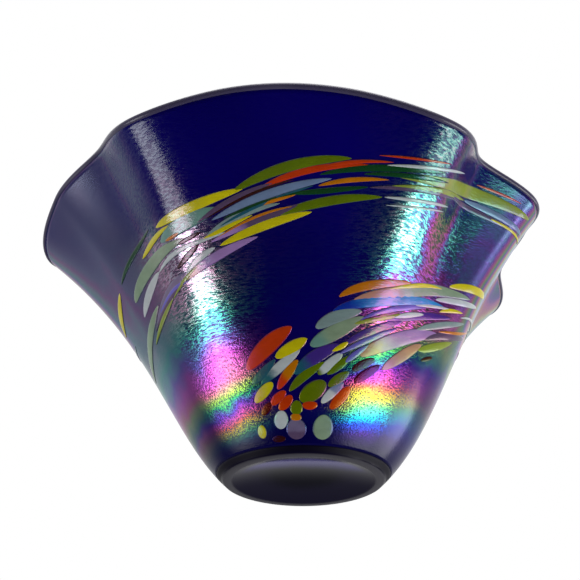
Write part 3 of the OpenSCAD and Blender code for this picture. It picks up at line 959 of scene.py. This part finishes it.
def chip_chain(start, by, end, width, tips, rise):
    """The middle line, the reach to the side and the rise of one chip, at each station."""
    s = (1 - np.cos(math.pi * (np.arange(STATIONS) + TIP_INSET) / (STATIONS - 1 + 2 * TIP_INSET))) / 2
    first = -STRETCH if tips == 2 else 0
    last = 1 + STRETCH if tips else 1
    line = [np.array(p, float) / (1, 100) for p in (start, by, end)]

    def path(at):
        at = at[:, None]
        return (line[0] * (1 - at) * (1 - 2 * at) + line[1] * 4 * at * (1 - at)
                + line[2] * at * (2 * at - 1))

    reach = first + (last - first) * s
    place, ahead, behind = path(reach), path(reach + NUDGE), path(reach - NUDGE)
    run = wall_point(*ahead.T) - wall_point(*behind.T)
    out = wall_normal(*place.T)
    side = np.cross(out, run)
    side /= np.linalg.norm(side, axis=-1, keepdims=True)
    swell = np.sqrt(1 - (1 - 2 * np.minimum(s, 1 - s)) ** 2)
    drawn = (tips == 2) | ((tips == 1) & (s > 0.5))
    half = SPREAD[tips] * width / 2 * np.where(drawn, swell ** TIP_SHARPNESS, swell)
    full = (0.5 + half / half.max() / 2)[:, None]
    return {"middle": wall_point(*place.T), "side": side * half[:, None] * MM,
            "rise": out * full * rise * MM, "turn": place[:, 0], "climb": place[:, 1], "along": s}


def chip_seed(name, rows, rise):
    """All the chains of one group, as edges that carry the numbers the tree needs."""
    chains = [chip_chain(*row, rise) for row in rows]
    joined = {key: np.concatenate([chain[key] for chain in chains]) for key in chains[0]}
    edges = [(c * STATIONS + i, c * STATIONS + i + 1)
             for c in range(len(rows)) for i in range(STATIONS - 1)]
    made = mesh_object(name, joined.pop("middle"), edges=edges)
    for key, values in joined.items():
        store(made.data, key, values, "FLOAT_VECTOR" if values.ndim == 2 else "FLOAT")
    return made


print(STATIONS, "stations on each chip")

# %% [markdown]
# ## Clothing the chains
# The tree sweeps a ring along each chain and then puts every point of the ring where the numbers say:
# out to the side for the width, up for the rise, down into the wall for the part that sank in.

# %% The chips' tree
CHIP_SIDES = 20
CHIP_FULLNESS = 0.55


def chip_tree():
    net, given = new_tree("Melt chip", [
        ("Sides", "Int", CHIP_SIDES), ("Sink", "Float", CHIP_SINK / CHIP_RISE),
        ("Fullness", "Float", CHIP_FULLNESS), ("Glass", "Material", None)])
    node = net.node

    def vector_math(operation, inputs):
        return node("ShaderNodeVectorMath", {"operation": operation}, inputs)

    lines = node("GeometryNodeMeshToCurve", inputs={"Mesh": given["Geometry"]})
    ring = node("GeometryNodeCurvePrimitiveCircle", inputs={"Resolution": given["Sides"], "Radius": 1.0})
    ring_x, ring_y, _ = net.split(node("GeometryNodeInputPosition"))
    ring = keep(net, ring, "across", ring_x)
    ring = keep(net, ring, "height", ring_y)
    # the sweep only makes the faces, because every point is sent to its real place afterwards
    lines = keep(net, lines, "middle", node("GeometryNodeInputPosition"), "FLOAT_VECTOR")
    body = node("GeometryNodeCurveToMesh", inputs={
        "Curve": lines, "Profile Curve": ring, "Fill Caps": True})
    across, height = kept(net, "across"), kept(net, "height")
    above = height.math("GREATER_THAN", 0)
    size = height.math("ABSOLUTE") ** given["Fullness"]
    lift = above * size - (1 - above) * size * given["Sink"]
    outward = vector_math("SCALE", {0: kept(net, "side", "FLOAT_VECTOR"), "Scale": across})
    upward = vector_math("SCALE", {0: kept(net, "rise", "FLOAT_VECTOR"), "Scale": lift})
    place = vector_math("ADD", {0: kept(net, "middle", "FLOAT_VECTOR"), 1: outward})
    place = vector_math("ADD", {0: place, 1: upward})
    body = node("GeometryNodeSetPosition", inputs={"Geometry": body, "Position": place})
    body = keep(net, body, "UVMap", net.join(kept(net, "along"), across, 0.0), "FLOAT2", "CORNER")
    body = node("GeometryNodeSetShadeSmooth", inputs={"Geometry": body})
    return end_tree(net, body, given["Glass"])


chips_tree = chip_tree()
print("chip tree of", len(chips_tree.nodes), "nodes")

# %% [markdown]
# ## Coloured glass
# Chip glass is opaque and a little cloudy. The chips of two colours change from one to the other in
# an uneven border. All are darker at their edges, where cobalt glass laps over them, and the film
# on them is thin, so that their own colours show.

# %% The chips' glass
CLOUD_STRETCH = (0.5, 0.5, 1)
EDGE_SHADE = 0.75
CHIP_ROUGHNESS = 0.12
CHIP_FILM = 0.12
# how dark the painted reflection in the gaps of the chips' film is
CHIP_GAP_REFLECTION = 0.3
CHIP_GLOSS = 1.35
DARK_GLOSS = 1.2
DARK_TINTS = ("maroon", "brown")


def chip_material(name, tint, lean=None):
    """Glass of one tint; lean is a second tint and how far along the chip it reaches."""
    material, net, place = new_material(name)
    cloud = noise(net, place, 260, 3, CLOUD_STRETCH)
    colour = np.array(linear(*TINTS[tint]))
    base = mix(net, cloud, (*(colour * 0.72), 1), (*(colour * 1.15).clip(0, 1), 1))
    if lean:
        second, reach = lean
        border = ramp(net, number_at(net, "along") + (cloud - 0.5) * 0.25, reach - 0.1, reach + 0.12)
        base = mix(net, border, paint(*TINTS[second]), base)
    edge = ramp(net, number_at(net, "across").math("ABSOLUTE"), 0.8, 1.0)
    base = mix(net, edge * EDGE_SHADE, base, paint(8, 0, 92))
    gloss = DARK_GLOSS if tint in DARK_TINTS else CHIP_GLOSS
    show(net, film_surface(net, place, base, CHIP_ROUGHNESS, CHIP_FILM, CHIP_GAP_REFLECTION, gloss))
    return material


chip_glass = {}
for name, (tint, rows) in (CHIPS | THREADS).items():
    key = name if name in LEAN else tint
    if key not in chip_glass:
        chip_glass[key] = chip_material(key + "_glass", tint, LEAN.get(name))
print(len(chip_glass), "kinds of chip glass")

# %% [markdown]
# ## Melting the chips in
# Each group of chips becomes one piece. The threads stand a little prouder than the chips, because
# they were laid over them.

# %% Grow the chips
chips = {}
for name, (tint, rows) in (CHIPS | THREADS).items():
    seed = chip_seed(name + "_glass", rows, CHIP_RISE if name in CHIPS else THREAD_RISE)
    chips[name] = grow(seed, chips_tree, {"Glass": chip_glass[name if name in LEAN else tint]})
print("chips:", sum(len(c.data.polygons) for c in chips.values()), "faces in", len(chips), "pieces")

# %% [markdown]
# ## The rainbow film, as numbers
# A metal film thinner than a wave of light takes its colour from its own thickness. Here it is thin
# near the foot and thicker up the wall, and on the upper wall it looks thinner again where it slants
# away from the front. One number at each point says how far along the rainbow the film is there. It
# depends on the place alone, so the colours stay where they are from every side.

# %% Film thickness
FILM_HEIGHTS = [0.00, 0.06, 0.13, 0.18, 0.25, 0.31, 0.40, 0.50, 0.60, 0.70, 1.00]
FILM_ORDERS = [0.10, 0.35, 0.60, 0.80, 0.97, 1.17, 1.32, 1.50, 1.66, 1.80, 1.90]
FACED_FROM = np.array([0.0, -0.88, -0.47])
THINNER = 0.17
THINNER_RIGHT = 0.3
SLANT_FREE = 0.38
THINNER_SLANTED = 2.4


def fade(value, start, length):
    """0 up to the start, then a straight climb to 1 over the length."""
    return np.clip((value - start) / length, 0, 1)


def film_order(angle, t, normal):
    """How many colour bands thick the film looks, from the height, the direction and the slant."""
    order = np.interp(t, FILM_HEIGHTS, FILM_ORDERS) - THINNER
    order = order - THINNER_RIGHT * np.sin(np.radians(angle))
    slant = 1 - np.abs(normal @ FACED_FROM)
    return order - THINNER_SLANTED * fade(t, 0.5, 0.2) * np.clip(slant - SLANT_FREE, 0, 1)


def film_lustre(angle, t):
    """How strongly the film shines: least down the front and toward the rim, none at the foot.

    Each fade has its start and its length, in degrees round the vase or in shares of its height.
    """
    beside_front = fade(np.abs(angle + 1), 10, 16)
    left = fade(-angle, 0, 20) * (np.abs(angle) < 120)
    near_rim = fade(t, 0.8 - 0.08 * left, 0.08)
    off_foot = fade(t, 0.04 + 0.03 * left, 0.10 + 0.16 * left)
    flank = fade(np.abs(angle), 50, 20) * fade(t, 0.4, 0.15)
    low_right = fade(angle, 36, 12) * fade(-t, -0.5, 0.1)
    return (off_foot * (0.1 + 0.9 * beside_front)
            * (1 - (0.8 + 0.14 * left) * near_rim * (1 - flank))
            * (1 - (0.15 + 0.4 * left) * flank) * (1 - 0.7 * low_right))


def film_grain(angle):
    """How broken the film is: in strokes and grains toward the front, smooth where it turns away."""
    return 1 - 0.85 * fade(np.abs(angle), 46, 14)


print("lustre halfway up at 0, 30 and 60 degrees:", film_lustre(np.array([0, 30, 60]), 0.5).round(2))

# %% [markdown]
# ## Laying the film on
# The numbers are worked out once for every point of the wall and the chips and stored there, so that
# the shaders only have to read them.

# %% Coat the glass
def coat_with_film(piece):
    """Stores the film's order, lustre and grain at every point of a piece."""
    mesh = piece.data
    normal = np.zeros(len(mesh.vertices) * 3, np.float32)
    mesh.vertices.foreach_get("normal", normal)
    angle, t = read(mesh, "turn"), read(mesh, "climb")
    order = film_order(angle, t, normal.reshape(-1, 3))
    store(mesh, "film", order)
    store(mesh, "lustre", film_lustre(angle, t))
    store(mesh, "grain", film_grain(angle))
    return order.min(), order.max()


print("film on the wall from %.2f to %.2f bands" % coat_with_film(wall))
for chip in chips.values():
    coat_with_film(chip)

# %% [markdown]
# ## Hang it all on the frame
# Each piece rides on the vase's one body. The foot, the wall, the lip and the chips each stand for
# their node. The threads stand for none, because the frame has no solids for them: they are finer
# detail that lies on the glass.

# %% Ride and replace
for piece, node_name, slot in ((wall, "wall", "cobalt_glass"), (lip, "lip", "smoke_glass"),
                               (foot, "foot", "smoke_glass")):
    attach(piece, "root")
    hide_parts(node_name)
for name, chip in chips.items():
    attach(chip, "root")
    if name in CHIPS:
        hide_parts(name)
print(len(chips) + 3, "pieces ride on the root")

# %% [markdown]
# ## Floor
# The vase stands on a pale floor. The camera looks up at it from below, so the floor is only seen
# from above, and only by the camera: seen from below it is clear, and it sends no light back.

# %% Floor
FLOOR_REACH = 8
FLOOR_GAP = 0.3
FLOOR_GREY = 0.8


def floor_material():
    """Matt grey for a camera that looks down on it, and clear for everything else."""
    material, net, _ = new_material("pale_floor")
    pale = net.node("ShaderNodeBsdfDiffuse", inputs={"Color": (FLOOR_GREY,) * 3 + (1,)})
    clear = net.node("ShaderNodeBsdfTransparent")
    camera_ray = net.node("ShaderNodeLightPath", out=0)
    below = net.node("ShaderNodeNewGeometry", out=6)
    show(net, net.node("ShaderNodeMixShader", inputs={
        0: camera_ray * (1 - below), 1: clear, 2: pale}))
    return material


corners = [(-FLOOR_REACH, -FLOOR_REACH), (FLOOR_REACH, -FLOOR_REACH),
           (FLOOR_REACH, FLOOR_REACH), (-FLOOR_REACH, FLOOR_REACH)]
floor = mesh_object("floor", [(x, y, -FLOOR_GAP * MM) for x, y in corners], faces=[(0, 1, 2, 3)])
floor.data.materials.append(floor_material())
print("floor", 2 * FLOOR_REACH, "m wide")

# %% [markdown]
# ## Soft light
# Shiny glass shows what is round it, so each highlight on the vase is the mirror image of a soft
# box. Two wide boxes stand low to the left and right, a small one farther round lights the fold on
# the right, and a large one hangs overhead.

# %% Soft boxes
AIM = Vector((0, 0, 0.08))
SOFT_BOXES = [
    # name, azimuth, elevation, distance, width, height, watts
    ("left_soft_box", -78, -30, 1.3, 0.75, 0.7, 8.5),
    ("right_soft_box", 79, -37, 1.3, 0.85, 0.7, 11),
    ("far_right_soft_box", 112, -22, 1.3, 0.5, 0.55, 4),
    ("top_soft_box", 20, 75, 1.6, 1.4, 1.4, 22)]


def soft_box(name, azimuth, elevation, distance, width, height, watts):
    """A rectangular light aimed at the vase; azimuth 0 is in front and positive to the right."""
    a, e = math.radians(azimuth), math.radians(elevation)
    toward = Vector((math.sin(a) * math.cos(e), -math.cos(a) * math.cos(e), math.sin(e)))
    light = bpy.data.lights.new(name, "AREA")
    light.shape = "RECTANGLE"
    light.size, light.size_y, light.energy = width, height, watts
    lamp = bpy.data.objects.new(name, light)
    lamp.location = AIM + toward * distance
    lamp.rotation_euler = toward.to_track_quat("Z", "Y").to_euler()
    lamp.visible_camera = False
    scene.collection.objects.link(lamp)


for row in SOFT_BOXES:
    soft_box(*row)
print(len(SOFT_BOXES), "soft boxes,", sum(row[-1] for row in SOFT_BOXES), "watts")

# %% [markdown]
# ## The room
# The room is pale behind and above, and dark in front and below, so that the cobalt stays deep.
# Where the camera looks past the vase it sees plain white.

# %% Room light
DARKEST = 0.003
BACK_GLOW = 0.55
CEILING_GLOW = 0.5


def room():
    """A world that lights the vase from behind and above; back is along +Y and up along +Z."""
    world = bpy.data.worlds.new("room")
    scene.world = world
    world.use_nodes = True
    world.node_tree.nodes.clear()
    net = Net(world.node_tree)
    _, back, up = net.split(net.node("ShaderNodeTexCoord", out=0))
    behind = ramp(net, back, 0.05, 0.75) * (0.2 + 0.8 * ramp(net, up, -0.45, -0.05))
    pale = DARKEST + BACK_GLOW * behind + CEILING_GLOW * ramp(net, up, 0.0, 0.5)
    camera_ray = net.node("ShaderNodeLightPath", out=0)
    glow = net.node("ShaderNodeBackground", inputs={
        "Color": (1, 1, 1, 1), "Strength": camera_ray + (1 - camera_ray) * pale})
    net.node("ShaderNodeOutputWorld", inputs={"Surface": glow})
    return world


print("room light of", len(room().node_tree.nodes), "nodes")

# %% [markdown]
# ## Camera
# The camera stands a little below the foot and looks up, so that the ground ring shows and the
# inside does not.

# %% Camera
CAMERA_LENS = 70.7
CAMERA_FILM = 36
CAMERA_PLACE = (-0.0068, -0.5477, -0.1827)
CAMERA_TILT = 118.02
camera = bpy.data.objects.new("camera", bpy.data.cameras.new("camera"))
camera.data.lens = CAMERA_LENS
camera.data.sensor_width = CAMERA_FILM
camera.location = CAMERA_PLACE
camera.rotation_euler = (math.radians(CAMERA_TILT), 0, 0)
scene.collection.objects.link(camera)
scene.camera = camera
scene.view_settings.view_transform = "Standard"
print("camera tilted up by", round(CAMERA_TILT - 90, 2), "degrees")
